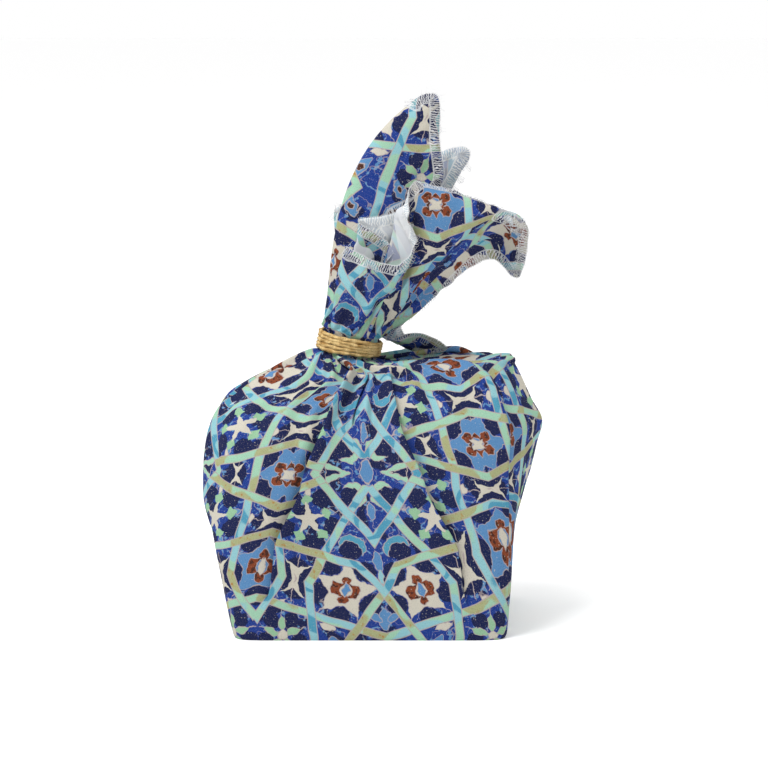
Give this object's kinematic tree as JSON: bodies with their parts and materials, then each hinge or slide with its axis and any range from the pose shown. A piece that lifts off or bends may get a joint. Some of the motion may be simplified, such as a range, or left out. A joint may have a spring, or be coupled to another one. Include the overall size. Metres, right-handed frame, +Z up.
{
  "type": "furoshiki wrap",
  "caption": "Small box-shaped parcel wrapped in a tile-print cotton cloth, gathered at the top and tied with jute twine under flared cloth ends.",
  "frame": {"origin": "centre of the bounding box at the flat bottom", "axes": "+Z up, +X to the right of the front, +Y to the back; the front looks towards -Y"},
  "size_m": [0.1708, 0.1176, 0.2694],
  "materials": {
    "printed_cotton": "printed plain-weave cotton",
    "jute_twine": "natural twisted jute"
  },
  "bodies": {
    "root": {"cloth": "printed_cotton", "twine": "jute_twine"}
  },
  "joints": []
}
